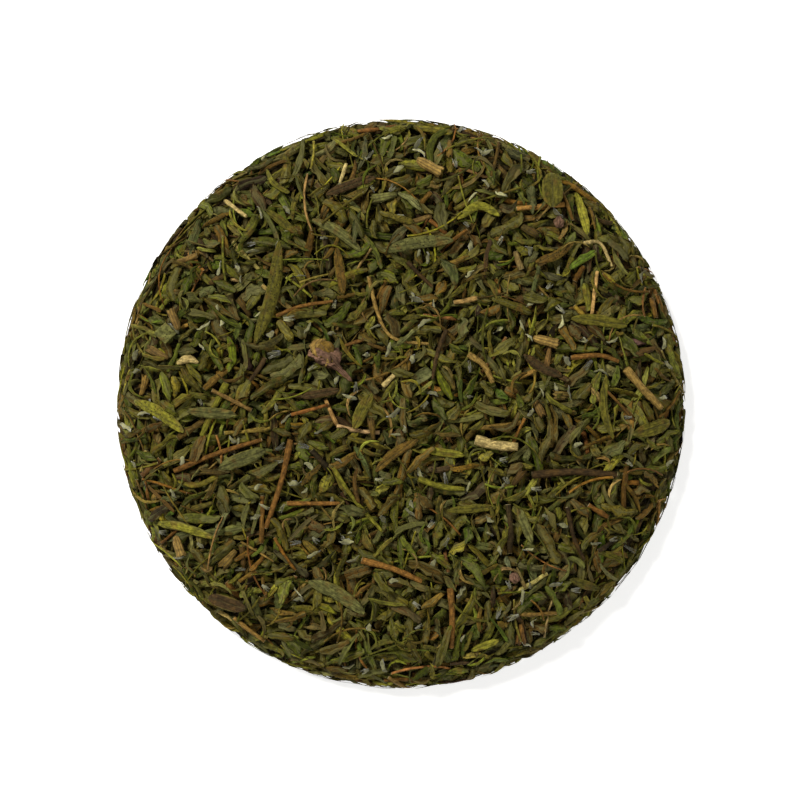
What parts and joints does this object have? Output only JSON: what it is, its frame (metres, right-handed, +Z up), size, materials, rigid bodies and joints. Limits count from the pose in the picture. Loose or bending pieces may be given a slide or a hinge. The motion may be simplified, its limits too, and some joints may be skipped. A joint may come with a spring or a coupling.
{
  "type": "dried thyme heap",
  "caption": "Round, level heap of loose dried thyme: small leaves with rolled edges, twigs, thin stems, ribbed calyces and buds lying at random.",
  "frame": {"origin": "middle of the heap's flat underside, on the surface that it lies on", "axes": "+Z up, out of the heap's top; +X and +Y across the round heap, with the dried flower bud on the -X side"},
  "size_m": [0.0792, 0.0792, 0.012],
  "materials": {
    "packed_leaf": "matte",
    "olive_leaf": "matte",
    "grey_green_leaf": "matte",
    "dark_leaf": "matte",
    "yellow_green_leaf": "matte",
    "brown_leaf": "matte",
    "cream_stem": "matte",
    "olive_stem": "matte",
    "tan_wood": "matte",
    "orange_wood": "matte",
    "dark_wood": "matte",
    "calyx": "matte",
    "bud": "matte"
  },
  "bodies": {
    "root": {"leaf_bed": "packed_leaf", "long_pitted_leaf": "olive_leaf", "dimpled_dark_leaf": "dark_leaf", "upper_grey_leaf": "grey_green_leaf", "big_grey_green_leaf": "grey_green_leaf", "folded_olive_leaf": "yellow_green_leaf", "tapered_leaf": "olive_leaf", "bright_green_leaf": "yellow_green_leaf", "fan_shaped_bract": "olive_leaf", "orange_brown_leaf": "brown_leaf", "rolled_grey_green_leaf": "grey_green_leaf", "yellow_green_pitted_leaf": "yellow_green_leaf", "broad_grey_green_leaf": "grey_green_leaf", "dark_green_leaf": "dark_leaf", "olive_tan_leaf": "olive_leaf", "yellow_green_leaf": "yellow_green_leaf", "brown_grey_leaf": "brown_leaf", "big_olive_leaf": "olive_leaf", "dark_leaf_right": "dark_leaf", "wavy_edged_leaf": "olive_leaf", "rim_olive_leaf": "olive_leaf", "lower_left_green_leaf": "yellow_green_leaf", "lower_dark_leaf": "dark_leaf", "large_bottom_leaf": "grey_green_leaf", "bottom_bright_leaf": "yellow_green_leaf", "pitted_leaf": "olive_leaf", "striped_grey_leaf": "grey_green_leaf", "bumpy_brown_leaf": "brown_leaf", "lower_right_leaf": "olive_leaf", "square_fragment": "brown_leaf", "thick_cream_twig": "cream_stem", "arched_dark_twig": "dark_wood", "thick_tan_twig": "tan_wood", "long_orange_twig": "orange_wood", "red_purple_twig": "orange_wood", "thin_orange_twig": "orange_wood", "dark_stick": "dark_wood", "yellow_twig": "olive_stem", "pale_yellow_twig": "cream_stem", "brown_stick": "dark_wood", "curved_brown_twig": "tan_wood", "dark_red_twig": "dark_wood", "lower_yellow_twig": "olive_stem", "long_olive_twig": "olive_stem", "red_orange_twig": "orange_wood", "lower_orange_twig": "orange_wood", "upright_red_twig": "orange_wood", "bent_tan_stem": "tan_wood", "upper_cream_stem": "cream_stem", "hooked_pale_stem": "cream_stem", "right_reddish_twig": "orange_wood", "forked_dark_twig": "dark_wood", "dried_flower_bud": "bud", "cashew_curl": "cream_stem", "pinkish_bud": "bud", "pinkish_seed": "bud", "tan_calyx": "calyx", "toothed_calyx": "calyx", "lower_left_calyx": "calyx", "orange_calyx": "calyx"}
  },
  "joints": []
}
